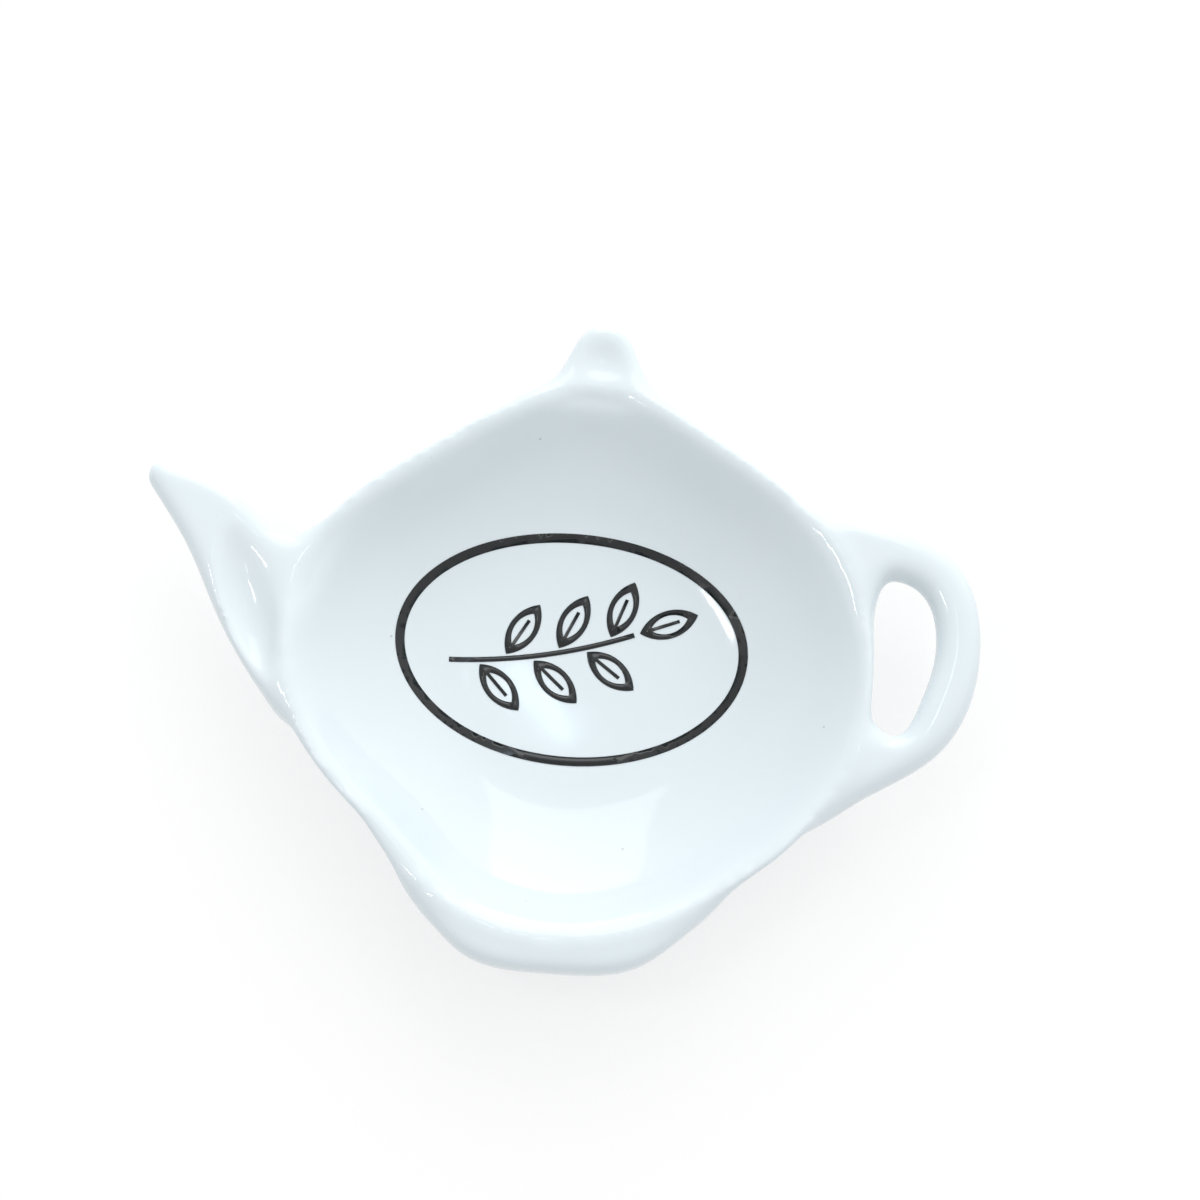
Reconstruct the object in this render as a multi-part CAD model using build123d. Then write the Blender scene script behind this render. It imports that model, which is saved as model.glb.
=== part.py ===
from build123d import *
import math
import os

# Tea bag rest: a shallow porcelain dish with the outline of a small teapot. It stands on a
# foot ring. A spout, a handle, a lid knob and a pot base are luted to its wall, and a printed
# transfer lies on the floor of its well.
#
# Frame: the origin is the centre of the foot ring on the table, +Z is up, +X points to the
# handle and +Y to the knob. Lengths are in millimetres. Directions are in degrees from +X,
# round the centre, and a flange's reaches are measured outward from the rim.

# Dish heights: foot, floor and well stack up to the rim
FOOT_HEIGHT = 2.0
FLOOR_THICKNESS = 3.4
WELL_DEPTH = 13.1

# Reach of the rim from the centre, from the knob round the handle side to the base
RIM_TOP = 42.0
RIM_COLLAR = 41.2
RIM_SHOULDER = 39.2
RIM_CHEEK = 40.1
RIM_UPPER_SIDE = 41.9
RIM_SIDE = 43.8
RIM_FLANK = 42.9
RIM_HIP = 41.4
RIM_BOTTOM = 42.4

# Reach of the rim where the spout side is leaner than the handle side
LEAN_SHOULDER = 38.9
LEAN_CHEEK = 39.1
LEAN_FLANK = 41.7
LEAN_HIP = 39.3
LEAN_HEEL = 41.4

# Walls of the dish: the well rolls over a narrow flat to the outer edge of the rim
RIM_WALL = 2.6
RIM_FLAT = 0.3
RIM_LIP = 0.6
WELL_SLOPE = 47.0
FLOOR_RADIUS = 15.0
UNDERSIDE_FLAT = 17.0
WALL_SECTIONS = 6

# Flanges: how far they lie below the rim, their thickness and how far they sink into the wall
RIM_STEP = 0.6
FLANGE_THICKNESS = 6.0
ROOT_MARGIN = 0.8
ROOT_DEPTH = 8.0

# Spout, from its lower root round the tip to its upper root
SPOUT_LOW_ROOT = 210.0
SPOUT_LOW_ROOT_HEADING = 120.0
SPOUT_LOW_MERGE = 197.0
SPOUT_HEEL_DIRECTION = 191.5
SPOUT_HEEL = 2.2
SPOUT_BELLY_DIRECTION = 177.0
SPOUT_BELLY = 9.0
SPOUT_NECK_DIRECTION = 168.7
SPOUT_NECK = 14.9
SPOUT_TIP_DIRECTION = 160.5
SPOUT_REACH = 25.3
SPOUT_TIP_RADIUS = 2.1
SPOUT_THROAT_DIRECTION = 158.7
SPOUT_THROAT = 11.4
SPOUT_NOTCH_DIRECTION = 160.3
SPOUT_NOTCH = 1.7
SPOUT_HIGH_MERGE = 156.0
SPOUT_HIGH_ROOT = 145.0
SPOUT_HIGH_ROOT_HEADING = 48.0
SPOUT_LOW_HEADING = 127.0
SPOUT_HIGH_HEADING = 164.0
SPOUT_TIP_THICKNESS = 4.4
SPOUT_EDGE = 0.6
SCOOP_DIRECTION = 176.0
SCOOP_PLACE = 3.8
SCOOP_HEADING = 109.0
SCOOP_LENGTH = 25.0
SCOOP_WIDTH = 8.4
SCOOP_DEPTH = 2.2

# Handle, from its upper root round the grip to its lower root
HANDLE_HIGH_ROOT = 50.0
HANDLE_HIGH_MERGE = 37.6
HANDLE_SHOULDER_DIRECTION = 28.0
HANDLE_SHOULDER = 7.6
HANDLE_CORNER_DIRECTION = 18.7
HANDLE_CORNER = 14.6
HANDLE_GRIP_DIRECTION = 6.8
HANDLE_REACH = 15.2
HANDLE_TAIL_DIRECTION = -10.6
HANDLE_TAIL = 10.3
HANDLE_HEEL_DIRECTION = -22.8
HANDLE_HEEL = 2.6
HANDLE_LOW_MERGE = -31.0
HANDLE_LOW_ROOT = -46.0
HANDLE_BAND = 6.5
HANDLE_FLAT = 0.8

# Loop of the handle, round its open side
LOOP_TOP_DIRECTION = 18.6
LOOP_TOP = 5.6
LOOP_CORNER_DIRECTION = 14.8
LOOP_CORNER = 8.6
LOOP_TAIL_DIRECTION = -3.2
LOOP_TAIL = 6.2
LOOP_END_DIRECTION = -9.6
LOOP_END = 3.3
LOOP_HEEL_DIRECTION = -8.3
LOOP_HEEL = 0.6
LOOP_BACK_DIRECTION = 5.0
LOOP_BACK = -0.4
LOOP_NAPE_DIRECTION = 15.5
LOOP_NAPE = 1.6

# Knob, alike on both sides of its axis
KNOB_X = 0.5
KNOB_ROOT_TURN = 32.0
KNOB_MERGE_TURN = 17.4
KNOB_HEIGHT = 8.6
KNOB_TOP_RADIUS = 4.6
KNOB_SIDE_HEADING = 60.0
KNOB_HALF_WIDTH = 8.0
KNOB_FLARE_DROP = 0.9
KNOB_ROOT_HEADING = 28.0
KNOB_ROUND = 2.0
DIMPLE_PLACE = 2.0
DIMPLE_WIDTH = 8.0
DIMPLE_DEPTH = 1.7

# Pot base, alike on both sides of its axis
BASE_DIRECTION = -90.2
BASE_ROOT_TURN = 47.0
BASE_MERGE_TURN = 33.0
BASE_FLANK_TURN = 23.0
BASE_FLANK = 2.3
BASE_CORNER_TURN = 16.0
BASE_CORNER = 3.8
BASE_DROP = 3.5
BASE_TOP_ROUND = 2.0
BASE_EDGE = 2.2

# Foot ring
FOOT_RADIUS = 23.0
FOOT_WIDTH = 3.4
FOOT_ROUND = 0.8

# Printed transfer
PRINT_THICKNESS = 0.08
PRINT_X = -0.8
PRINT_Y = 3.5
BORDER_LENGTH = 52.0
BORDER_HEIGHT = 35.0
BORDER_STROKE = 1.35
SPRIG_STROKE = 0.75
STEM_LENGTH = 27.0
STEM_RISE = 6.0
STEM_SAG = 1.1
STEM_SHIFT = 4.4
LEAF_COUNT = 6
LEAF_LENGTH = 9.0
LEAF_WIDTH = 4.2
LEAF_GAP = 0.5
LEAF_HEADING = 52.0
RIB_LENGTH = 5.4
RIB_STROKE = 0.5

# Worked out from the sizes above
FLOOR_HEIGHT = FOOT_HEIGHT + FLOOR_THICKNESS
RIM_HEIGHT = FLOOR_HEIGHT + WELL_DEPTH
FLANGE_TOP = RIM_HEIGHT - RIM_STEP
FLANGE_BOTTOM = FLANGE_TOP - FLANGE_THICKNESS
SPOUT_ROUND = min((SPOUT_TIP_THICKNESS - SPOUT_EDGE) / 2.0, 0.9 * SPOUT_TIP_RADIUS)
HANDLE_ROUND = (min(FLANGE_THICKNESS, HANDLE_BAND) - HANDLE_FLAT) / 2.0
BASE_ROUND = FLANGE_THICKNESS - BASE_TOP_ROUND - BASE_EDGE
CUT_OVER = 2.0
RIM = (
    (90.0, RIM_TOP),
    (80.0, RIM_COLLAR),
    (62.0, RIM_SHOULDER),
    (45.0, RIM_CHEEK),
    (28.0, RIM_UPPER_SIDE),
    (0.0, RIM_SIDE),
    (-26.0, RIM_FLANK),
    (-52.0, RIM_HIP),
    (-90.0, RIM_BOTTOM),
    (-114.0, LEAN_HEEL),
    (-134.0, LEAN_HIP),
    (-154.0, LEAN_FLANK),
    (-180.0, RIM_SIDE),
    (-208.0, RIM_UPPER_SIDE),
    (-225.0, LEAN_CHEEK),
    (-242.0, LEAN_SHOULDER),
    (-260.0, RIM_COLLAR),
)
RIM_MEAN = sum(radius for _, radius in RIM) / len(RIM)

# Outer wall: an arc from the flat underside up to the rim
WALL_RISE = RIM_HEIGHT - FOOT_HEIGHT
WALL_RUN = RIM_MEAN - UNDERSIDE_FLAT
WALL_CURVE = (WALL_RUN**2 + WALL_RISE**2) / (2.0 * WALL_RISE)
WALL_SLOPE = math.atan2(WALL_RUN, WALL_CURVE - WALL_RISE)

# Well: a flat floor, an arc up to the well's slope and a straight wall up to the rim
SLOPE = math.radians(WELL_SLOPE)
WELL_REACH = RIM_MEAN - RIM_WALL
WELL_RUN = WELL_REACH - FLOOR_RADIUS
WELL_CURVE = (WELL_RUN * math.sin(SLOPE) - WELL_DEPTH * math.cos(SLOPE)) / (1.0 - math.cos(SLOPE))
RIM_ROLL = (RIM_WALL - RIM_FLAT - RIM_LIP / math.tan(WALL_SLOPE / 2.0)) / math.tan(SLOPE / 2.0)

# Flange roots end inside the wall where it leans in furthest, at the flange's underside
BOTTOM_DROP = WALL_CURVE - (FLANGE_BOTTOM - FOOT_HEIGHT)
ROOT_BITE = WALL_RUN - math.sqrt(WALL_CURVE**2 - BOTTOM_DROP**2) + ROOT_MARGIN


def polar(direction, reach, height=0.0):
    """Point at a reach from the centre, along a direction."""
    angle = math.radians(direction)
    return Vector(reach * math.cos(angle), reach * math.sin(angle), height)


def outline(share, height, wall=0.0):
    """Closed line of the pot outline: the rim's own shape at share 1, rounder below."""
    mean = RIM_MEAN - wall
    points = []
    for direction, radius in RIM:
        reach = share * (mean + (radius - RIM_MEAN) * share**2)
        points.append(polar(direction, reach, height))
    return Spline(*points, periodic=True)


RIM_EDGE = outline(1.0, 0.0)


def rim_point(direction, outward=0.0):
    """Plan point that lies outward of the rim, along a direction from the centre."""
    turn = (RIM[0][0] - direction) % 360.0
    low = 0.0
    high = 1.0
    for _ in range(40):
        middle = (low + high) / 2.0
        point = RIM_EDGE @ middle
        heading = math.degrees(math.atan2(point.Y, point.X))
        if (RIM[0][0] - heading) % 360.0 < turn:
            low = middle
        else:
            high = middle
    return polar(direction, (RIM_EDGE @ low).length + outward)


def make_body():
    """Outer form of the dish, filled to the rim, with its outer rim edge rounded."""
    sections = []
    for step in range(WALL_SECTIONS + 1):
        slope = WALL_SLOPE * step / WALL_SECTIONS
        reach = UNDERSIDE_FLAT + WALL_CURVE * math.sin(slope)
        height = FOOT_HEIGHT + WALL_CURVE * (1.0 - math.cos(slope))
        sections.append(make_face(outline(reach / RIM_MEAN, height)))
    body = loft(sections)
    return fillet(body.faces().sort_by(Axis.Z)[-1].edges(), RIM_LIP)


def make_well():
    """Hollow of the dish: a flat floor that curves up into a straight wall, cut past the rim."""
    profile = []
    for step in range(WALL_SECTIONS + 1):
        slope = SLOPE * step / WALL_SECTIONS
        profile.append((FLOOR_RADIUS + WELL_CURVE * math.sin(slope), WELL_CURVE * (1.0 - math.cos(slope))))
    profile.append((WELL_REACH, WELL_DEPTH))
    profile.append((WELL_REACH + CUT_OVER / math.tan(SLOPE), WELL_DEPTH + CUT_OVER))
    sections = [
        make_face(outline(reach / WELL_REACH, FLOOR_HEIGHT + height, RIM_WALL)) for reach, height in profile
    ]
    return loft(sections)


def make_dish(body, well):
    """Bowl whose well rolls over at the rim."""
    dish = body - well
    rim_face = dish.faces().sort_by(Axis.Z)[-1]
    return fillet(rim_face.inner_wires()[0].edges(), RIM_ROLL)


def rooted(edges):
    """Plan of a flange: its edges in order, closed by straight lines inside the dish."""
    start = edges[0] @ 0
    end = edges[-1] @ 1
    inner_start = start - start.normalized() * ROOT_DEPTH
    inner_end = end - end.normalized() * ROOT_DEPTH
    return make_face([*edges, *Polyline(end, inner_end, inner_start, start).edges()])


def flange(plan):
    """Slab of a plan, hung below the flange level."""
    return extrude(Pos(0, 0, FLANGE_TOP) * plan, FLANGE_THICKNESS, dir=(0, 0, -1))


def soften(slab, top_radius, bottom_radius):
    """Slab with its top and bottom edges rounded, apart from its straight root lines."""
    top_edges = slab.faces().sort_by(Axis.Z)[-1].edges()
    slab = fillet(top_edges.filter_by(GeomType.LINE, reverse=True), top_radius)
    bottom_edges = slab.faces().sort_by(Axis.Z)[0].edges()
    return fillet(bottom_edges.filter_by(GeomType.LINE, reverse=True), bottom_radius)


def lemon(length, width, depth):
    """Spindle along X that cuts a leaf of this length, width and depth into the plane below it."""
    belly = (width**2 / 4.0 + depth**2) / (2.0 * depth)
    axis_height = belly - depth
    curve = (length**2 / 4.0 + depth**2) / (2.0 * depth)
    reach = math.sqrt(curve**2 - (curve - belly) ** 2)
    arc = ThreePointArc((-reach, 0), (0, belly), (reach, 0))
    half = make_face([arc, Line((reach, 0), (-reach, 0))])
    return Pos(0, 0, axis_height) * revolve(half, Axis.X)


def spout_plan():
    """Leaf outline of the spout, from its root below the belly round the tip."""
    tip = rim_point(SPOUT_TIP_DIRECTION, SPOUT_REACH - SPOUT_TIP_RADIUS)
    tip_low = tip + polar(SPOUT_LOW_HEADING + 90.0, SPOUT_TIP_RADIUS)
    tip_far = tip + polar((SPOUT_LOW_HEADING + SPOUT_HIGH_HEADING) / 2.0, SPOUT_TIP_RADIUS)
    tip_high = tip + polar(SPOUT_HIGH_HEADING - 90.0, SPOUT_TIP_RADIUS)
    lower = Spline(
        rim_point(SPOUT_LOW_ROOT, -ROOT_BITE),
        rim_point(SPOUT_LOW_MERGE),
        rim_point(SPOUT_HEEL_DIRECTION, SPOUT_HEEL),
        rim_point(SPOUT_BELLY_DIRECTION, SPOUT_BELLY),
        rim_point(SPOUT_NECK_DIRECTION, SPOUT_NECK),
        tip_low,
        tangents=(polar(SPOUT_LOW_ROOT_HEADING, 1.0), polar(SPOUT_LOW_HEADING, 1.0)),
    )
    upper = Spline(
        tip_high,
        rim_point(SPOUT_THROAT_DIRECTION, SPOUT_THROAT),
        rim_point(SPOUT_NOTCH_DIRECTION, SPOUT_NOTCH),
        rim_point(SPOUT_HIGH_MERGE),
        rim_point(SPOUT_HIGH_ROOT, -ROOT_BITE),
        tangents=(polar(SPOUT_HIGH_HEADING + 180.0, 1.0), polar(SPOUT_HIGH_ROOT_HEADING, 1.0)),
    )
    return rooted([lower, ThreePointArc(tip_low, tip_far, tip_high), upper])


def make_spout(body):
    """Spout with a scoop beside the rim and an underside that thins towards the tip."""
    slab = extrude(Pos(0, 0, FLANGE_TOP) * spout_plan(), FLANGE_THICKNESS + CUT_OVER, dir=(0, 0, -1))
    root = rim_point(SPOUT_TIP_DIRECTION)
    root_low = Vector(root.X, root.Y, FLANGE_BOTTOM)
    thinning = (FLANGE_THICKNESS - SPOUT_TIP_THICKNESS) / SPOUT_REACH
    underside = Plane(root_low, z_dir=polar(SPOUT_TIP_DIRECTION + 180.0, thinning, 1.0))
    slab = split(slab, bisect_by=underside, keep=Keep.TOP)
    slab = soften(slab, SPOUT_ROUND, SPOUT_ROUND)
    centre = rim_point(SCOOP_DIRECTION, SCOOP_PLACE)
    place = Pos(centre.X, centre.Y, FLANGE_TOP) * Rot(0, 0, SCOOP_HEADING)
    return slab - place * lemon(SCOOP_LENGTH, SCOOP_WIDTH, SCOOP_DEPTH) - body


def handle_plan():
    """C-shaped outline of the handle with flared roots, round its open loop."""
    outer = Spline(
        rim_point(HANDLE_HIGH_ROOT, -ROOT_BITE),
        rim_point(HANDLE_HIGH_MERGE),
        rim_point(HANDLE_SHOULDER_DIRECTION, HANDLE_SHOULDER),
        rim_point(HANDLE_CORNER_DIRECTION, HANDLE_CORNER),
        rim_point(HANDLE_GRIP_DIRECTION, HANDLE_REACH),
        rim_point(HANDLE_TAIL_DIRECTION, HANDLE_TAIL),
        rim_point(HANDLE_HEEL_DIRECTION, HANDLE_HEEL),
        rim_point(HANDLE_LOW_MERGE),
        rim_point(HANDLE_LOW_ROOT, -ROOT_BITE),
    )
    loop = Spline(
        rim_point(LOOP_TOP_DIRECTION, LOOP_TOP),
        rim_point(LOOP_CORNER_DIRECTION, LOOP_CORNER),
        rim_point(HANDLE_GRIP_DIRECTION, HANDLE_REACH - HANDLE_BAND),
        rim_point(LOOP_TAIL_DIRECTION, LOOP_TAIL),
        rim_point(LOOP_END_DIRECTION, LOOP_END),
        rim_point(LOOP_HEEL_DIRECTION, LOOP_HEEL),
        rim_point(LOOP_BACK_DIRECTION, LOOP_BACK),
        rim_point(LOOP_NAPE_DIRECTION, LOOP_NAPE),
        periodic=True,
    )
    return rooted([outer]) - make_face(loop)


def make_handle(body):
    """Handle of nearly round section."""
    return soften(flange(handle_plan()), HANDLE_ROUND, HANDLE_ROUND) - body


def knob_plan():
    """Outline of the lid knob: a rounded cone whose sides flare into the shoulders."""
    crown = Vector(KNOB_X, RIM_TOP + KNOB_HEIGHT - KNOB_TOP_RADIUS)
    flare_y = RIM_TOP - KNOB_FLARE_DROP
    left = Spline(
        rim_point(90.0 + KNOB_ROOT_TURN, -ROOT_BITE),
        rim_point(90.0 + KNOB_MERGE_TURN),
        (KNOB_X - KNOB_HALF_WIDTH, flare_y),
        crown + polar(90.0 + KNOB_SIDE_HEADING, KNOB_TOP_RADIUS),
        tangents=(polar(KNOB_ROOT_HEADING, 1.0), polar(KNOB_SIDE_HEADING, 1.0)),
    )
    right = Spline(
        crown + polar(90.0 - KNOB_SIDE_HEADING, KNOB_TOP_RADIUS),
        (KNOB_X + KNOB_HALF_WIDTH, flare_y),
        rim_point(90.0 - KNOB_MERGE_TURN),
        rim_point(90.0 - KNOB_ROOT_TURN, -ROOT_BITE),
        tangents=(polar(-KNOB_SIDE_HEADING, 1.0), polar(-KNOB_ROOT_HEADING, 1.0)),
    )
    top = ThreePointArc(left @ 1, crown + polar(90.0, KNOB_TOP_RADIUS), right @ 0)
    return rooted([left, top, right])


def make_knob(body):
    """Lid knob with a round dimple beside the rim."""
    slab = soften(flange(knob_plan()), KNOB_ROUND, KNOB_ROUND)
    ball_radius = (DIMPLE_WIDTH**2 / 4.0 + DIMPLE_DEPTH**2) / (2.0 * DIMPLE_DEPTH)
    ball_height = FLANGE_TOP + ball_radius - DIMPLE_DEPTH
    return slab - Pos(KNOB_X, RIM_TOP + DIMPLE_PLACE, ball_height) * Sphere(ball_radius) - body


def base_plan():
    """Crescent outline of the pot base, flared into the sides of the pot."""
    half = (
        (BASE_ROOT_TURN, -ROOT_BITE),
        (BASE_MERGE_TURN, 0.0),
        (BASE_FLANK_TURN, BASE_FLANK),
        (BASE_CORNER_TURN, BASE_CORNER),
    )
    points = [rim_point(BASE_DIRECTION + turn, outward) for turn, outward in half]
    points.append(rim_point(BASE_DIRECTION, BASE_DROP))
    points += [rim_point(BASE_DIRECTION - turn, outward) for turn, outward in reversed(half)]
    return rooted([Spline(*points)])


def make_pot_base(body):
    """Pot base whose top rolls over towards its edge."""
    return soften(flange(base_plan()), BASE_TOP_ROUND, BASE_ROUND) - body


def make_foot_ring(body):
    """Foot ring with a flat bearing face and rounded edges, seated on the dish's underside."""
    height = RIM_HEIGHT - RIM_WALL
    profile = Pos(FOOT_RADIUS, height / 2.0) * Rectangle(FOOT_WIDTH, height)
    ring = revolve(Plane.XZ * profile, Axis.Z)
    return fillet(ring.faces().sort_by(Axis.Z)[0].edges(), FOOT_ROUND) - body


def lens(length, width):
    """Pointed leaf outline along X, from its base at the origin."""
    high = ThreePointArc((0, 0), (length / 2.0, width / 2.0), (length, 0))
    low = ThreePointArc((0, 0), (length / 2.0, -width / 2.0), (length, 0))
    return make_face([high, low])


def leaf():
    """Drawn leaf: an outline and a midrib."""
    inner_width = LEAF_WIDTH - 2.0 * SPRIG_STROKE
    inner_length = LEAF_LENGTH * inner_width / LEAF_WIDTH
    inner = Pos((LEAF_LENGTH - inner_length) / 2.0, 0) * lens(inner_length, inner_width)
    rib = Pos(RIB_LENGTH / 2.0 + SPRIG_STROKE, 0) * Rectangle(RIB_LENGTH, RIB_STROKE)
    return lens(LEAF_LENGTH, LEAF_WIDTH) - inner + rib


def leaf_on(stem, share, turn):
    """Leaf beside the stem, at a share of its length, turned from its run."""
    run = stem % share
    heading = math.degrees(math.atan2(run.Y, run.X)) + turn
    start = stem @ share + polar(heading, SPRIG_STROKE / 2.0 + LEAF_GAP)
    return Pos(start.X, start.Y) * Rot(0, 0, heading) * leaf()


def make_prints(well):
    """Border, stem and leaves of the transfer, each a thin layer that follows the well."""
    layer = well - Pos(0, 0, PRINT_THICKNESS) * well
    half_stem = STEM_LENGTH / 2.0
    stem = Spline(
        (-STEM_SHIFT - half_stem, -STEM_RISE / 2.0),
        (-STEM_SHIFT, -STEM_SAG),
        (-STEM_SHIFT + half_stem, STEM_RISE / 2.0),
    )
    border = Ellipse(BORDER_LENGTH / 2.0, BORDER_HEIGHT / 2.0)
    border -= Ellipse(BORDER_LENGTH / 2.0 - BORDER_STROKE, BORDER_HEIGHT / 2.0 - BORDER_STROKE)
    leaves = Sketch() + leaf_on(stem, 1.0, 0.0)
    for number in range(LEAF_COUNT):
        turn = LEAF_HEADING if number % 2 else -LEAF_HEADING
        leaves += leaf_on(stem, (number + 1) / (LEAF_COUNT + 1), turn)
    drawings = {
        "print_border": border,
        "print_stem": trace(stem, SPRIG_STROKE),
        "print_leaves": leaves,
    }
    place = Pos(PRINT_X, PRINT_Y, FLOOR_HEIGHT - CUT_OVER)
    return {
        name: extrude(place * drawing, WELL_DEPTH, dir=(0, 0, 1)) & layer
        for name, drawing in drawings.items()
    }


def main():
    body = make_body()
    well = make_well()
    nodes = {
        "dish": make_dish(body, well),
        "spout": make_spout(body),
        "handle": make_handle(body),
        "knob": make_knob(body),
        "pot_base": make_pot_base(body),
        "foot_ring": make_foot_ring(body),
    }
    nodes.update(make_prints(well))
    os.makedirs("parts", exist_ok=True)
    for name, shape in nodes.items():
        export_step(shape, f"parts/{name}.step")


main()
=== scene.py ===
"""Looks of the tea bag rest: one glazed casting, its bare foot, its printed transfer and a stage.

Every length is in metres, in the frame of the solids: the origin is the centre of the foot on
the table, +X points to the handle, +Y to the lid knob and +Z up out of the well.
"""

import math

import bpy
from bpy.props import FloatProperty, FloatVectorProperty, IntProperty, PointerProperty
from mathutils import Matrix, Vector
from mathutils.bvhtree import BVHTree


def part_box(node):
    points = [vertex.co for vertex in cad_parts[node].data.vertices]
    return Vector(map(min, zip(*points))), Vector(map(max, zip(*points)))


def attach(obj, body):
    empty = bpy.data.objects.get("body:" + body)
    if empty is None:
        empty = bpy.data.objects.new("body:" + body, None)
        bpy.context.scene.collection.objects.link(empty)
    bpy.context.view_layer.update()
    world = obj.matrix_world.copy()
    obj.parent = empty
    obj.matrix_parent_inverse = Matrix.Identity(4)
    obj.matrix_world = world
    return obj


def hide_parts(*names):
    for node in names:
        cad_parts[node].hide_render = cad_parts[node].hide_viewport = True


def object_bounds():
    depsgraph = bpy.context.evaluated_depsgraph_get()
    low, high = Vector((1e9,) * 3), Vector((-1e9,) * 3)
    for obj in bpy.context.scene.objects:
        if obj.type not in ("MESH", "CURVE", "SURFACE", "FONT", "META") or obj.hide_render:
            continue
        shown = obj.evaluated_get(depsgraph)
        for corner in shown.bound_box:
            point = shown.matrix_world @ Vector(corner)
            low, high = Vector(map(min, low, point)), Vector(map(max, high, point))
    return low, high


bl_info = {
    "name": "Tea Bag Rest",
    "version": (1, 0, 0),
    "blender": (4, 5, 0),
    "location": "View3D > Sidebar > Tea Bag Rest",
    "description": "Glazed casting, bare foot, printed transfer and stage of a tea bag rest",
    "category": "Object",
}

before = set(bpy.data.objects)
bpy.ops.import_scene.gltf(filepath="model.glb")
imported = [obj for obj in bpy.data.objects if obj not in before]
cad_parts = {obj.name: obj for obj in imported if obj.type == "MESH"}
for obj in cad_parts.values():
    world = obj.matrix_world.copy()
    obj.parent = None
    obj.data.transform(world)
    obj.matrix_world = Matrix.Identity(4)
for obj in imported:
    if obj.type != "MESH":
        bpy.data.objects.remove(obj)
SOLIDS_LOW, SOLIDS_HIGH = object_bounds()
FOOT_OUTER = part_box("foot_ring")[1].x
RIM_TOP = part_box("dish")[1].z
WELL_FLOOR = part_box("print_stem")[0].z

FLANGES = ("spout", "handle", "knob", "pot_base")
CASTING = ("dish", *FLANGES)
PRINTS = ("print_border", "print_stem", "print_leaves")
GLAZE_GROUP = "Glaze Unevenness"
WHITE = (1.0, 1.0, 1.0)

# Side of the photograph in pixels, and the camera's sensor and nearest sight
PHOTO_SIDE = 1200.0
SENSOR_WIDTH = 36.0
CLIP_START = 0.01

# Distance within which the loose triangles of a solid are merged
MERGE_DISTANCE = 0.000001

# How far below the top of the dish a point still is on the crest of its rim
CREST_DEPTH = 0.00001

# Share of the well floor's height over which a point is in the well, not on the underside
WELL_SIDE = 0.9

# Strength of one smoothing pass
SMOOTHING = 0.5

# How far down the rim gives way where it melts, in multiples of its sinking
MELT_STOP = 1.6

# How steeply the blend rises from the edge of a melt and of a fill towards its middle
MELT_GAIN = 1.6
FILL_GAIN = 2.5

# Where the rim melts in the firing: direction in degrees from the handle side, reach and sinking
MELTS = {
    "knob": (88.5, 0.011, 0.0013),
    "spout throat": (163.0, 0.013, 0.0009),
}

# Where slip fills the corner beside a flange: direction, reach and thickness of the slip
FILLS = {
    "spout heel": (202.0, 0.008, 0.0006),
    "base left": (233.5, 0.012, 0.0013),
    "base right": (306.0, 0.007, 0.0004),
}

# Softboxes of the stage: directions and spins are in degrees, and a size is width and height
LAMPS = {
    "window": {
        "azimuth": 90.5,
        "elevation": 24.0,
        "distance": 1.0,
        "size": (0.63, 1.30),
        "radiance": 1.5,
    },
    "strip": {
        "azimuth": 183.0,
        "elevation": 64.0,
        "distance": 0.6,
        "size": (0.026, 0.113),
        "radiance": 24.0,
        "spin": -56.0,
    },
    "ceiling": {
        "azimuth": 83.0,
        "elevation": 75.0,
        "distance": 0.8,
        "size": (0.022, 0.075),
        "radiance": 7.0,
        "spin": 52.0,
        "color": (0.62, 0.82, 1.0),
    },
}


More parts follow.
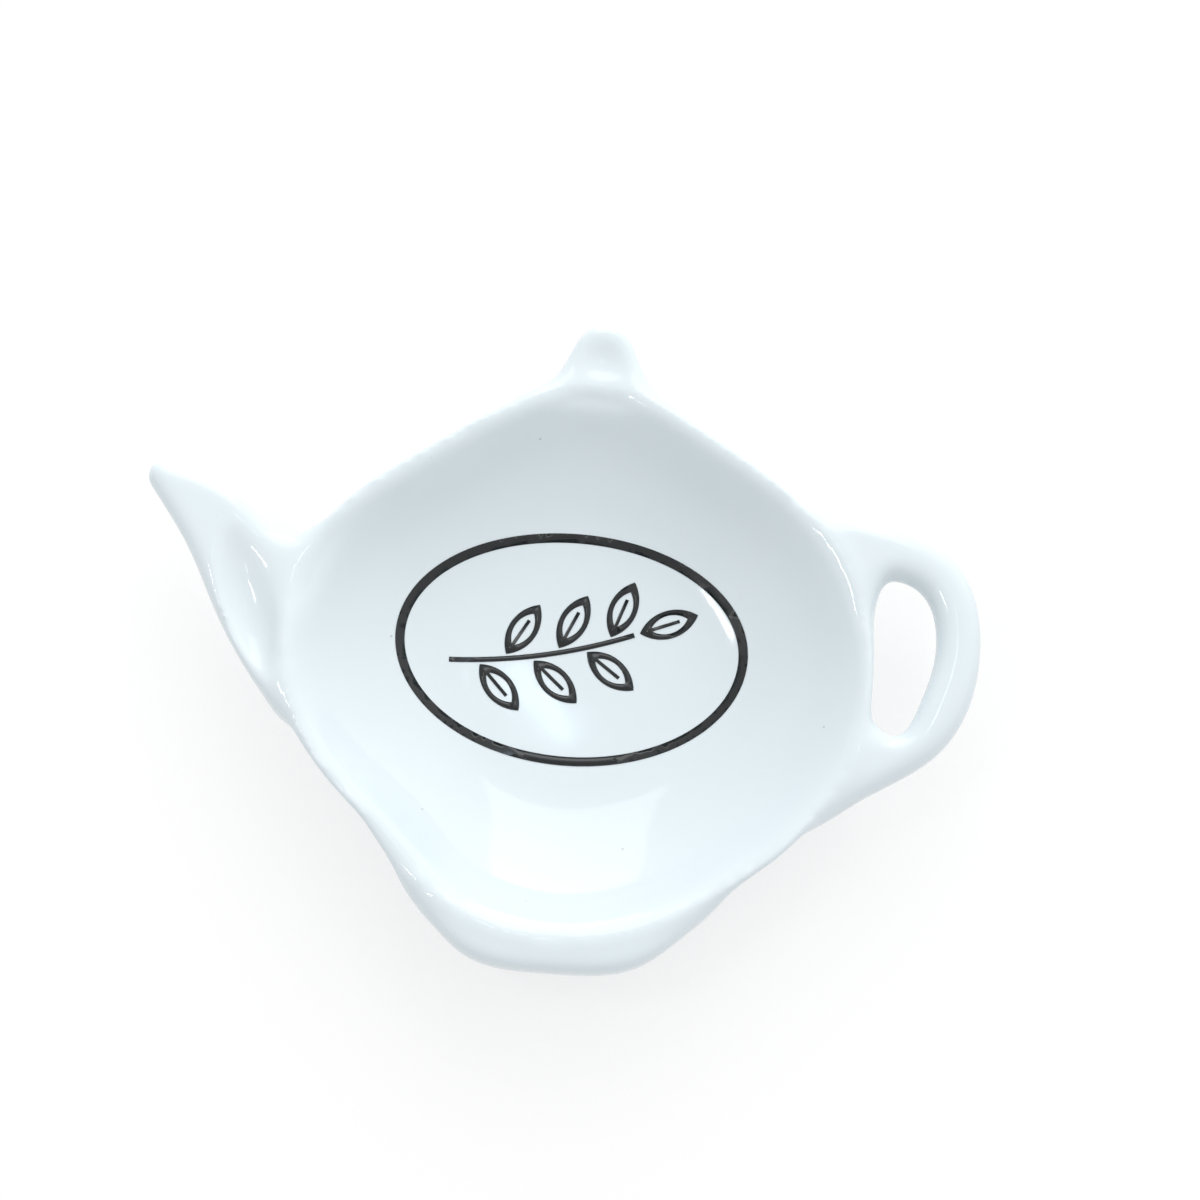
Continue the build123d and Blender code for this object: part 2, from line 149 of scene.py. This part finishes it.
class CastingSettings(bpy.types.PropertyGroup):
    """Sizes and colours of the glazed casting"""

    voxel: FloatProperty(
        name="Voxel",
        description="Grid size at which the luted pieces are fused",
        default=0.0005,
        unit="LENGTH",
    )
    blend: FloatProperty(
        name="Blend",
        description="Reach of the soft blend on each side of a luting line",
        default=0.003,
        unit="LENGTH",
    )
    blend_passes: IntProperty(
        name="Blend Passes",
        description="Smoothing passes along the luting lines",
        default=70,
    )
    melt_passes: IntProperty(
        name="Melt Passes",
        description="Further smoothing passes where the rim melts",
        default=200,
    )
    flange_softness: FloatProperty(
        name="Flange Softness",
        description="Share of the blend's smoothing that the whole of each flange gets",
        default=0.07,
        subtype="FACTOR",
    )
    floor_reach: FloatProperty(
        name="Floor Reach",
        description="Radius of the flat floor of the solids",
        default=0.015,
        unit="LENGTH",
    )
    wall_curve: FloatProperty(
        name="Wall Curve",
        description="Radius of the curve from the floor into the wall",
        default=0.026,
        unit="LENGTH",
    )
    bowl_curve: FloatProperty(
        name="Bowl Curve",
        description="Radius of the shallow bowl into which the floor sank in the firing",
        default=0.200,
        unit="LENGTH",
    )
    wall_slope: FloatProperty(
        name="Wall Slope",
        description="Slope of the well's wall below the rim",
        default=math.radians(43.0),
        subtype="ANGLE",
    )
    rim_roll: FloatProperty(
        name="Rim Roll",
        description="Radius at which the wall of the solids rolls over at the rim",
        default=0.0032,
        unit="LENGTH",
    )
    lip_roll: FloatProperty(
        name="Lip Roll",
        description="Tighter radius to which the glazed wall is drawn before its crest is smoothed",
        default=0.0012,
        unit="LENGTH",
    )
    roll_reach: FloatProperty(
        name="Roll Reach",
        description="How far inside the crest the wall is drawn down for the tighter roll",
        default=0.014,
        unit="LENGTH",
    )
    crest_reach: FloatProperty(
        name="Crest Reach",
        description="How far from its crest the rim is smoothed",
        default=0.0024,
        unit="LENGTH",
    )
    crest_passes: IntProperty(
        name="Crest Passes",
        description="Smoothing passes along the crest of the rim",
        default=120,
    )
    skin_passes: IntProperty(
        name="Skin Passes",
        description="Light smoothing passes over the whole glaze",
        default=8,
    )
    glaze_line: FloatProperty(
        name="Glaze Line",
        description="Height at which the glaze was wiped off the foot",
        default=0.0008,
        unit="LENGTH",
    )
    glaze_color: FloatVectorProperty(
        name="Glaze",
        description="Colour of the glazed porcelain",
        default=(0.76, 0.835, 0.87),
        subtype="COLOR",
    )
    pool_color: FloatVectorProperty(
        name="Glaze Pool",
        description="Colour where the glaze lies a little thicker",
        default=(0.735, 0.82, 0.86),
        subtype="COLOR",
    )
    speck_color: FloatVectorProperty(
        name="Specks",
        description="Colour of the rare small specks in the glaze",
        default=(0.42, 0.44, 0.44),
        subtype="COLOR",
    )


class FootSettings(bpy.types.PropertyGroup):
    """Sizes and colour of the bare foot"""

    inset: FloatProperty(
        name="Inset",
        description="From the outer edge of the foot to the middle of the bare ring",
        default=0.0017,
        unit="LENGTH",
    )
    thickness: FloatProperty(
        name="Thickness",
        description="Section of the bare ring",
        default=0.0030,
        unit="LENGTH",
    )
    flat: FloatProperty(
        name="Flat",
        description="Height of the ring's middle over the table, which sets its bearing face",
        default=0.0011,
        unit="LENGTH",
    )
    segments: IntProperty(
        name="Segments",
        description="Steps round the ring",
        default=160,
    )
    section_segments: IntProperty(
        name="Section Segments",
        description="Steps round the ring's section",
        default=24,
    )
    bare_color: FloatVectorProperty(
        name="Bare Porcelain",
        description="Colour of the unglazed bearing face",
        default=(0.66, 0.64, 0.59),
        subtype="COLOR",
    )
    grain_shade: FloatProperty(
        name="Grain Shade",
        description="How dark the grain of the bare porcelain is, as a share of its colour",
        default=0.85,
        subtype="FACTOR",
    )


class TransferSettings(bpy.types.PropertyGroup):
    """Colour of the printed transfer"""

    ink_color: FloatVectorProperty(
        name="Ink",
        description="Colour of the ink",
        default=(0.008, 0.010, 0.011),
        subtype="COLOR",
    )
    thin_ink: FloatProperty(
        name="Thin Ink",
        description="How much lighter the ink is where it lies thin",
        default=1.6,
    )


class StageSettings(bpy.types.PropertyGroup):
    """Camera, floor and surround"""

    distance: FloatProperty(
        name="Distance",
        description="From the camera to the middle of the rim",
        default=0.45,
        unit="LENGTH",
    )
    tilt: FloatProperty(
        name="Tilt",
        description="How far the camera leans from straight above towards the pot base",
        default=math.radians(13.0),
        subtype="ANGLE",
    )
    roll: FloatProperty(
        name="Roll",
        description="Turn of the camera about its own axis",
        default=math.radians(4.6),
        subtype="ANGLE",
    )
    focal_pixels: FloatProperty(
        name="Focal Pixels",
        description="Focal length in pixels of the square picture",
        default=3136.5,
        subtype="PIXEL",
    )
    target_pixel: FloatVectorProperty(
        name="Target Pixel",
        description="Where the aim falls in the square picture, from its top left corner",
        size=2,
        default=(576.0, 661.0),
    )
    aim_y: FloatProperty(
        name="Aim",
        description="Where the camera aims along Y, at rim height",
        default=-0.0012,
        unit="LENGTH",
    )
    floor_side: FloatProperty(
        name="Floor Side",
        description="Side of the square floor",
        default=6.0,
        unit="LENGTH",
    )
    floor_color: FloatVectorProperty(
        name="Floor",
        description="Colour of the floor",
        default=(0.90, 0.90, 0.90),
        subtype="COLOR",
    )
    floor_lift: FloatProperty(
        name="Floor Lift",
        description="Share of the floor's white that shadows don't darken",
        default=0.66,
        subtype="FACTOR",
    )
    bright_side: FloatVectorProperty(
        name="Bright Side",
        description="Azimuth and elevation of the brighter side of the surround, in degrees",
        size=2,
        default=(62.0, 25.0),
    )
    surround: FloatProperty(
        name="Surround",
        description="Brightness of the surround away from its brighter side",
        default=0.68,
    )
    surround_glow: FloatProperty(
        name="Surround Glow",
        description="How much brighter the bright side of the surround is",
        default=0.80,
    )
    glow_focus: FloatProperty(
        name="Glow Focus",
        description="How closely the glow gathers round the bright side",
        default=2.0,
    )


def deselect():
    """Leaves nothing selected."""
    if bpy.context.mode != "OBJECT":
        bpy.ops.object.mode_set(mode="OBJECT")
    bpy.ops.object.select_all(action="DESELECT")


def choose(piece):
    """Makes one piece the only selected and the active one."""
    deselect()
    piece.select_set(True)
    bpy.context.view_layer.objects.active = piece


def finish_with(piece, kind, **settings):
    """Adds a modifier with these settings and applies it."""
    choose(piece)
    modifier = piece.modifiers.new(kind.title(), kind)
    for name, value in settings.items():
        setattr(modifier, name, value)
    bpy.ops.object.modifier_apply(modifier=modifier.name)


def smooth(piece, passes, group=""):
    """Smooths a piece, only as far as a vertex group says where one is given."""
    finish_with(piece, "SMOOTH", factor=SMOOTHING, iterations=passes, vertex_group=group)


def copy_of(name, nodes):
    """One new mesh object with copies of these solids, their loose triangles merged."""
    deselect()
    copies = []
    for node in nodes:
        copy = bpy.data.objects.new(name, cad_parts[node].data.copy())
        bpy.context.collection.objects.link(copy)
        copy.select_set(True)
        copies.append(copy)
    bpy.context.view_layer.objects.active = copies[0]
    if len(copies) > 1:
        bpy.ops.object.join()
    piece = bpy.context.view_layer.objects.active
    piece.name = name
    piece.data.name = name
    piece.data.materials.clear()
    bpy.ops.object.mode_set(mode="EDIT")
    bpy.ops.mesh.select_all(action="SELECT")
    bpy.ops.mesh.remove_doubles(threshold=MERGE_DISTANCE)
    bpy.ops.object.mode_set(mode="OBJECT")
    return piece


def tree_of(nodes):
    """Search tree over the faces of these solids."""
    points = []
    faces = []
    for node in nodes:
        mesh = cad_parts[node].data
        start = len(points)
        points += [vertex.co.copy() for vertex in mesh.vertices]
        faces += [[start + index for index in face.vertices] for face in mesh.polygons]
    return BVHTree.FromPolygons(points, faces)


def crest_tree():
    """Search tree over the narrow flat on the crest of the rim."""
    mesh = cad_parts["dish"].data
    points = [vertex.co.copy() for vertex in mesh.vertices]
    high = [point.z > RIM_TOP - CREST_DEPTH for point in points]
    faces = [face.vertices[:] for face in mesh.polygons if all(high[index] for index in face.vertices)]
    return BVHTree.FromPolygons(points, faces)


def distance_to(tree, point):
    """Distance from a point to the nearest face of a search tree."""
    return tree.find_nearest(point)[3]


def direction(azimuth, elevation):
    """Unit vector from the object towards a direction, in degrees."""
    turn = math.radians(azimuth)
    rise = math.radians(elevation)
    return Vector((math.cos(rise) * math.cos(turn), math.cos(rise) * math.sin(turn), math.sin(rise)))


def rim_place(azimuth):
    """Point on the crest of the rim, in a direction from the handle side."""
    way = direction(azimuth, 0.0)
    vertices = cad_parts["dish"].data.vertices
    crest = [vertex.co.copy() for vertex in vertices if vertex.co.z > RIM_TOP - CREST_DEPTH]
    return max(crest, key=lambda point: point.normalized().dot(way))


def falloff(point, place, reach):
    """Share of an effect at a point, seen from above: 1 at its place and 0 from its reach on."""
    share = (point.xy - place.xy).length / reach
    return max(0.0, 1.0 - share**2) ** 2


def sink_rim(piece):
    """Lowers the crest of the rim where it melts, and less the lower it lies already."""
    for azimuth, reach, sinking in MELTS.values():
        place = rim_place(azimuth)
        stop = place.z - MELT_STOP * sinking
        for vertex in piece.data.vertices:
            height = max(0.0, vertex.co.z - stop) / (place.z - stop)
            vertex.co.z -= sinking * height * falloff(vertex.co, place, reach)


def fill_corners(piece):
    """Pushes the outer face out beside the flanges, and leaves the crest of the rim in place."""
    normals = [vertex.normal.copy() for vertex in piece.data.vertices]
    for azimuth, reach, thickness in FILLS.values():
        place = rim_place(azimuth)
        out = direction(azimuth, 0.0)
        for vertex, normal in zip(piece.data.vertices, normals):
            facing = max(0.0, normal.dot(out))
            vertex.co += out * thickness * facing * falloff(vertex.co, place, reach)


def mark_softness(piece, settings):
    """Vertex groups: how far each place is blended or melts, and where the dish stays as it is."""
    soft = piece.vertex_groups.new(name="soft")
    melted = piece.vertex_groups.new(name="melted")
    plain = piece.vertex_groups.new(name="plain")
    dish = tree_of(("dish",))
    flanges = tree_of(FLANGES)
    foot = tree_of(("foot_ring",))
    melts = [(rim_place(azimuth), reach) for azimuth, reach, _ in MELTS.values()]
    fills = [
        (rim_place(azimuth), reach, direction(azimuth, 0.0))
        for azimuth, reach, _ in FILLS.values()
    ]
    for vertex in piece.data.vertices:
        off_dish = distance_to(dish, vertex.co)
        off_flange = distance_to(flanges, vertex.co)
        off_foot = distance_to(foot, vertex.co)
        luting = 1.0 - max(off_dish, min(off_flange, off_foot)) / settings.blend
        melting = max(1.0 - (vertex.co - place).length / reach for place, reach in melts)
        filling = max(
            (1.0 - (vertex.co - place).length / reach) * max(0.0, vertex.normal.dot(out))
            for place, reach, out in fills
        )
        weight = min(1.0, max(luting, MELT_GAIN * melting, FILL_GAIN * filling, 0.0))
        if off_flange < off_dish:
            weight = max(weight, settings.flange_softness)
        else:
            plain.add([vertex.index], 1.0 - weight, "REPLACE")
        soft.add([vertex.index], weight, "REPLACE")
        melted.add([vertex.index], max(melting, 0.0) ** 2, "REPLACE")
    return soft.name, melted.name, plain.name


def mark_crest(piece, settings):
    """Vertex group of the rim, fading out from its crest."""
    crest = crest_tree()
    group = piece.vertex_groups.new(name="crest")
    for vertex in piece.data.vertices:
        weight = 1.0 - distance_to(crest, vertex.co) / settings.crest_reach
        if weight > 0.0:
            group.add([vertex.index], weight, "REPLACE")
    return group.name


def sink_floor(piece, settings):
    """Lowers what lies on the well's floor into a shallow bowl that runs into the wall's curve."""

    def rise(reach):
        return max(0.0, reach - settings.floor_reach) ** 2 / (2.0 * settings.wall_curve)

    edge = settings.floor_reach / (1.0 - settings.wall_curve / settings.bowl_curve)
    for vertex in piece.data.vertices:
        reach = math.hypot(vertex.co.x, vertex.co.y)
        if reach < edge and vertex.co.z > WELL_FLOOR * WELL_SIDE:
            sag = (edge**2 - reach**2) / (2.0 * settings.bowl_curve)
            vertex.co.z += rise(edge) - sag - rise(reach)


def tighten_roll(piece, settings):
    """Lowers the wall inside the crest, so that it runs closer to the rim and rolls over tighter."""
    slope = settings.wall_slope
    roll_end = settings.rim_roll * math.sin(slope)

    def drop(roll, inward):
        end = roll * math.sin(slope)
        if inward > end:
            return roll * (1.0 - math.cos(slope)) + (inward - end) * math.tan(slope)
        return roll - math.sqrt(roll**2 - inward**2)

    crest = crest_tree()
    normals = [vertex.normal.copy() for vertex in piece.data.vertices]
    for vertex, normal in zip(piece.data.vertices, normals):
        if normal.z < 0.0:
            continue
        place = crest.find_nearest(Vector((vertex.co.x, vertex.co.y, RIM_TOP)))[0]
        inward = (vertex.co.xy - place.xy).length
        if inward > settings.roll_reach or vertex.co.xy.length > place.xy.length:
            continue
        fall = max(0.0, inward - roll_end) / (settings.roll_reach - roll_end)
        fade = 0.5 + 0.5 * math.cos(math.pi * fall)
        vertex.co.z -= fade * (drop(settings.lip_roll, inward) - drop(settings.rim_roll, inward))


def wipe_foot(piece, height):
    """Cuts a piece off below a height and closes the cut."""
    choose(piece)
    bpy.ops.object.mode_set(mode="EDIT")
    bpy.ops.mesh.select_all(action="SELECT")
    bpy.ops.mesh.bisect(
        plane_co=(0.0, 0.0, height),
        plane_no=(0.0, 0.0, 1.0),
        use_fill=True,
        clear_inner=True,
    )
    bpy.ops.object.mode_set(mode="OBJECT")


def finish_piece(piece, material, nodes):
    """Shades a piece, gives it its material, hangs it under the root body and hides the solids it
    stands for.
    """
    choose(piece)
    bpy.ops.object.shade_smooth()
    piece.data.materials.clear()
    piece.data.materials.append(material)
    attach(piece, "root")
    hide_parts(*nodes)


def rgba(color, gain=1.0):
    """Opaque colour, lighter or darker by a gain."""
    return (*[gain * channel for channel in color], 1.0)


def new_material(name):
    """Material with a Principled shader, its node tree and that shader."""
    material = bpy.data.materials.new(name)
    material.use_nodes = True
    tree = material.node_tree
    return material, tree, tree.nodes["Principled BSDF"]


def set_inputs(node, values):
    """Sets input sockets of a node by their names or numbers."""
    for socket, value in values.items():
        node.inputs[socket].default_value = value


def add_node(tree, kind, inputs=None, **settings):
    """New node with these properties and these values on its input sockets."""
    node = tree.nodes.new(kind)
    for name, value in settings.items():
        setattr(node, name, value)
    set_inputs(node, inputs or {})
    return node


def glaze_group():
    """Unevenness of a fired glaze, built once: clouds, drifting gloss, gentle waves and specks."""
    if GLAZE_GROUP in bpy.data.node_groups:
        return bpy.data.node_groups[GLAZE_GROUP]
    tree = bpy.data.node_groups.new(GLAZE_GROUP, "ShaderNodeTree")
    defaults = {
        "Cloud Scale": 60.0,
        "Wave Scale": 180.0,
        "Gloss Low": 0.05,
        "Gloss High": 0.11,
        "Speck Scale": 130.0,
        "Speck Size": 0.032,
    }
    for name, default in defaults.items():
        socket = tree.interface.new_socket(name, in_out="INPUT", socket_type="NodeSocketFloat")
        socket.default_value = default
    for name in ("Cloud", "Roughness", "Height", "Speck"):
        tree.interface.new_socket(name, in_out="OUTPUT", socket_type="NodeSocketFloat")
    inputs = add_node(tree, "NodeGroupInput")
    outputs = add_node(tree, "NodeGroupOutput")
    place = add_node(tree, "ShaderNodeTexCoord")
    cloud = add_node(tree, "ShaderNodeTexNoise", {"Detail": 2.0})
    wave = add_node(tree, "ShaderNodeTexNoise", {"Detail": 1.0})
    cells = add_node(tree, "ShaderNodeTexVoronoi")
    gloss = add_node(tree, "ShaderNodeMapRange")
    speck = add_node(tree, "ShaderNodeMapRange", {"To Min": 1.0, "To Max": 0.0})
    for noise, scale in ((cloud, "Cloud Scale"), (wave, "Wave Scale"), (cells, "Speck Scale")):
        tree.links.new(place.outputs["Object"], noise.inputs["Vector"])
        tree.links.new(inputs.outputs[scale], noise.inputs["Scale"])
    tree.links.new(wave.outputs["Fac"], gloss.inputs["Value"])
    tree.links.new(inputs.outputs["Gloss Low"], gloss.inputs["To Min"])
    tree.links.new(inputs.outputs["Gloss High"], gloss.inputs["To Max"])
    tree.links.new(cells.outputs["Distance"], speck.inputs["Value"])
    tree.links.new(inputs.outputs["Speck Size"], speck.inputs["From Max"])
    tree.links.new(cloud.outputs["Fac"], outputs.inputs["Cloud"])
    tree.links.new(gloss.outputs["Result"], outputs.inputs["Roughness"])
    tree.links.new(wave.outputs["Fac"], outputs.inputs["Height"])
    tree.links.new(speck.outputs["Result"], outputs.inputs["Speck"])
    return tree


def glaze_material(settings):
    """High-gloss porcelain glaze with rare specks."""
    material, tree, shader = new_material("Porcelain Glaze")
    uneven = add_node(tree, "ShaderNodeGroup", node_tree=glaze_group())
    clouds = {"A": rgba(settings.glaze_color), "B": rgba(settings.pool_color)}
    color = add_node(tree, "ShaderNodeMix", clouds, data_type="RGBA")
    specked = add_node(tree, "ShaderNodeMix", {"B": rgba(settings.speck_color)}, data_type="RGBA")
    bump = add_node(tree, "ShaderNodeBump", {"Strength": 0.04, "Distance": 0.0004})
    tree.links.new(uneven.outputs["Cloud"], color.inputs["Factor"])
    tree.links.new(color.outputs["Result"], specked.inputs["A"])
    tree.links.new(uneven.outputs["Speck"], specked.inputs["Factor"])
    tree.links.new(specked.outputs["Result"], shader.inputs["Base Color"])
    tree.links.new(uneven.outputs["Roughness"], shader.inputs["Roughness"])
    tree.links.new(uneven.outputs["Height"], bump.inputs["Height"])
    tree.links.new(bump.outputs["Normal"], shader.inputs["Normal"])
    return material


def ink_material(settings):
    """Black transfer ink under the same gloss."""
    material, tree, shader = new_material("Transfer Ink")
    satin = {"Cloud Scale": 400.0, "Gloss Low": 0.10, "Gloss High": 0.16}
    uneven = add_node(tree, "ShaderNodeGroup", satin, node_tree=glaze_group())
    clouds = {"A": rgba(settings.ink_color), "B": rgba(settings.ink_color, settings.thin_ink)}
    color = add_node(tree, "ShaderNodeMix", clouds, data_type="RGBA")
    tree.links.new(uneven.outputs["Cloud"], color.inputs["Factor"])
    tree.links.new(color.outputs["Result"], shader.inputs["Base Color"])
    tree.links.new(uneven.outputs["Roughness"], shader.inputs["Roughness"])
    return material


def bare_material(settings):
    """Matt fired porcelain with a fine grain."""
    material, tree, shader = new_material("Bare Porcelain")
    set_inputs(shader, {"Roughness": 0.85})
    place = add_node(tree, "ShaderNodeTexCoord")
    grain = add_node(tree, "ShaderNodeTexNoise", {"Scale": 2500.0, "Detail": 4.0})
    shades = {"A": rgba(settings.bare_color), "B": rgba(settings.bare_color, settings.grain_shade)}
    color = add_node(tree, "ShaderNodeMix", shades, data_type="RGBA")
    bump = add_node(tree, "ShaderNodeBump", {"Strength": 0.3, "Distance": 0.0001})
    tree.links.new(place.outputs["Object"], grain.inputs["Vector"])
    tree.links.new(grain.outputs["Fac"], color.inputs["Factor"])
    tree.links.new(color.outputs["Result"], shader.inputs["Base Color"])
    tree.links.new(grain.outputs["Fac"], bump.inputs["Height"])
    tree.links.new(bump.outputs["Normal"], shader.inputs["Normal"])
    return material


def floor_material(settings):
    """Pale floor: white to the camera and in reflections, with a light shadow."""
    material, tree, shader = new_material("Pale Floor")
    set_inputs(shader, {"Roughness": 0.9, "Specular IOR Level": 0.0, "Emission Color": rgba(WHITE)})
    path = add_node(tree, "ShaderNodeLightPath")
    seen = add_node(tree, "ShaderNodeMath", operation="MAXIMUM")
    lift = add_node(tree, "ShaderNodeMath", {1: settings.floor_lift}, operation="MULTIPLY")
    tones = {"A": rgba(settings.floor_color), "B": rgba(WHITE, 1.0 - settings.floor_lift)}
    color = add_node(tree, "ShaderNodeMix", tones, data_type="RGBA")
    tree.links.new(path.outputs["Is Camera Ray"], seen.inputs[0])
    tree.links.new(path.outputs["Is Glossy Ray"], seen.inputs[1])
    tree.links.new(seen.outputs["Value"], lift.inputs[0])
    tree.links.new(seen.outputs["Value"], color.inputs["Factor"])
    tree.links.new(color.outputs["Result"], shader.inputs["Base Color"])
    tree.links.new(lift.outputs["Value"], shader.inputs["Emission Strength"])
    return material


def studio_world(settings):
    """Even pale surround that is a little brighter towards one side, and white to the camera."""
    world = bpy.data.worlds.new("studio")
    world.use_nodes = True
    tree = world.node_tree
    sky = tree.nodes["Background"]
    set_inputs(sky, {"Color": rgba(WHITE)})
    bright_side = {1: direction(*settings.bright_side)}
    brightness = {1: settings.surround_glow, 2: settings.surround}
    place = add_node(tree, "ShaderNodeTexCoord")
    facing = add_node(tree, "ShaderNodeVectorMath", bright_side, operation="DOT_PRODUCT")
    near = add_node(tree, "ShaderNodeMath", {1: 0.0}, operation="MAXIMUM")
    fall = add_node(tree, "ShaderNodeMath", {1: settings.glow_focus}, operation="POWER")
    level = add_node(tree, "ShaderNodeMath", brightness, operation="MULTIPLY_ADD")
    path = add_node(tree, "ShaderNodeLightPath")
    seen = add_node(tree, "ShaderNodeMix", {"B": 1.0}, data_type="FLOAT")
    tree.links.new(place.outputs["Generated"], facing.inputs[0])
    tree.links.new(facing.outputs["Value"], near.inputs[0])
    tree.links.new(near.outputs["Value"], fall.inputs[0])
    tree.links.new(fall.outputs["Value"], level.inputs[0])
    tree.links.new(path.outputs["Is Camera Ray"], seen.inputs["Factor"])
    tree.links.new(level.outputs["Value"], seen.inputs["A"])
    tree.links.new(seen.outputs["Result"], sky.inputs["Strength"])
    return world


def add_softbox(name, azimuth, elevation, distance, size, radiance, spin=0.0, color=WHITE):
    """Rectangular lamp of an even brightness that looks at the middle of the rim."""
    light = bpy.data.lights.new(name, "AREA")
    light.shape = "RECTANGLE"
    light.size, light.size_y = size
    light.energy = radiance * math.pi * size[0] * size[1]
    light.color = color
    lamp = bpy.data.objects.new(name, light)
    bpy.context.collection.objects.link(lamp)
    out = direction(azimuth, elevation)
    lamp.location = Vector((0.0, 0.0, RIM_TOP)) + out * distance
    turned = out.to_track_quat("Z", "Y").to_matrix() @ Matrix.Rotation(math.radians(spin), 3, "Z")
    lamp.rotation_euler = turned.to_euler()


def add_camera(settings):
    """Camera at the photograph's viewpoint."""
    aim = Vector((0.0, settings.aim_y, RIM_TOP))
    back = Vector((0.0, -math.sin(settings.tilt), math.cos(settings.tilt)))
    right = Vector((1.0, 0.0, 0.0))
    up = back.cross(right)
    view_right = right * math.cos(settings.roll) + up * math.sin(settings.roll)
    view_up = back.cross(view_right)
    data = bpy.data.cameras.new("photo_camera")
    data.sensor_width = SENSOR_WIDTH
    data.lens = SENSOR_WIDTH * settings.focal_pixels / PHOTO_SIDE
    data.shift_x = 0.5 - settings.target_pixel[0] / PHOTO_SIDE
    data.shift_y = settings.target_pixel[1] / PHOTO_SIDE - 0.5
    data.clip_start = CLIP_START
    camera = bpy.data.objects.new("photo_camera", data)
    bpy.context.collection.objects.link(camera)
    turn = Matrix((view_right, view_up, back)).transposed().to_4x4()
    camera.matrix_world = Matrix.Translation(aim + back * settings.distance) @ turn
    bpy.context.scene.camera = camera


class TEA_REST_OT_casting(bpy.types.Operator):
    """Fuse the dish, spout, handle, knob, pot base and foot into one glazed casting"""

    bl_idname = "tea_rest.casting"
    bl_label = "Glazed Casting"

    def execute(self, context):
        settings = context.scene.tea_rest_casting
        casting = copy_of("porcelain_casting", (*CASTING, "foot_ring"))
        solids = copy_of("solids_guide", (*CASTING, "foot_ring"))
        finish_with(casting, "REMESH", mode="VOXEL", voxel_size=settings.voxel)
        soft, melted, plain = mark_softness(casting, settings)
        sink_rim(casting)
        fill_corners(casting)
        smooth(casting, settings.blend_passes, soft)
        smooth(casting, settings.melt_passes, melted)
        finish_with(
            casting,
            "SHRINKWRAP",
            target=solids,
            wrap_method="NEAREST_SURFACEPOINT",
            vertex_group=plain,
        )
        bpy.data.objects.remove(solids)
        sink_floor(casting, settings)
        tighten_roll(casting, settings)
        crest = mark_crest(casting, settings)
        smooth(casting, settings.crest_passes, crest)
        smooth(casting, settings.skin_passes)
        wipe_foot(casting, settings.glaze_line)
        finish_piece(casting, glaze_material(settings), CASTING)
        return {"FINISHED"}


class TEA_REST_OT_foot(bpy.types.Operator):
    """Make the bare bearing face of the foot"""

    bl_idname = "tea_rest.foot"
    bl_label = "Bare Foot"

    def execute(self, context):
        settings = context.scene.tea_rest_foot
        deselect()
        bpy.ops.mesh.primitive_torus_add(
            major_segments=settings.segments,
            minor_segments=settings.section_segments,
            major_radius=FOOT_OUTER - settings.inset,
            minor_radius=settings.thickness / 2.0,
            location=(0.0, 0.0, 0.0),
        )
        foot = context.active_object
        foot.name = "bare_foot"
        foot.data.name = "bare_foot"
        for vertex in foot.data.vertices:
            vertex.co.z = max(0.0, vertex.co.z + settings.flat)
        finish_piece(foot, bare_material(settings), ("foot_ring",))
        return {"FINISHED"}


class TEA_REST_OT_transfer(bpy.types.Operator):
    """Ink the border, stem and leaves of the transfer"""

    bl_idname = "tea_rest.transfer"
    bl_label = "Printed Transfer"

    def execute(self, context):
        ink = ink_material(context.scene.tea_rest_transfer)
        for node in PRINTS:
            piece = copy_of(node.replace("print", "ink"), (node,))
            sink_floor(piece, context.scene.tea_rest_casting)
            finish_piece(piece, ink, (node,))
        return {"FINISHED"}


class TEA_REST_OT_stage(bpy.types.Operator):
    """Set the floor, the lights and the camera"""

    bl_idname = "tea_rest.stage"
    bl_label = "Stage"

    def execute(self, context):
        settings = context.scene.tea_rest_stage
        deselect()
        bpy.ops.mesh.primitive_plane_add(size=settings.floor_side, location=(0.0, 0.0, SOLIDS_LOW.z))
        floor = context.active_object
        floor.name = "floor"
        floor.data.materials.append(floor_material(settings))
        for name, lamp in LAMPS.items():
            add_softbox(name, **lamp)
        context.scene.world = studio_world(settings)
        context.scene.view_settings.view_transform = "Standard"
        add_camera(settings)
        return {"FINISHED"}


class TEA_REST_PT_panel(bpy.types.Panel):
    """Sizes, colours and steps of the tea bag rest"""

    bl_idname = "TEA_REST_PT_panel"
    bl_label = "Tea Bag Rest"
    bl_space_type = "VIEW_3D"
    bl_region_type = "UI"
    bl_category = "Tea Bag Rest"

    def draw(self, context):
        for operator, settings in STEPS:
            box = self.layout.box()
            box.operator(operator.bl_idname)
            group = getattr(context.scene, settings_name(operator))
            for name in settings.__annotations__:
                box.prop(group, name)


STEPS = (
    (TEA_REST_OT_casting, CastingSettings),
    (TEA_REST_OT_foot, FootSettings),
    (TEA_REST_OT_transfer, TransferSettings),
    (TEA_REST_OT_stage, StageSettings),
)


def settings_name(operator):
    """Name under which the scene holds an operator's settings."""
    return operator.bl_idname.replace(".", "_")


def register():
    """Registers the settings, the operators and the panel."""
    for operator, settings in STEPS:
        bpy.utils.register_class(settings)
        bpy.utils.register_class(operator)
        setattr(bpy.types.Scene, settings_name(operator), PointerProperty(type=settings))
    bpy.utils.register_class(TEA_REST_PT_panel)


def unregister():
    """Takes out what register put in."""
    bpy.utils.unregister_class(TEA_REST_PT_panel)
    for operator, settings in reversed(STEPS):
        delattr(bpy.types.Scene, settings_name(operator))
        bpy.utils.unregister_class(operator)
        bpy.utils.unregister_class(settings)


def main():
    """Builds the pieces and the stage."""
    register()
    bpy.ops.tea_rest.casting()
    bpy.ops.tea_rest.foot()
    bpy.ops.tea_rest.transfer()
    bpy.ops.tea_rest.stage()


if __name__ == "__main__":
    main()
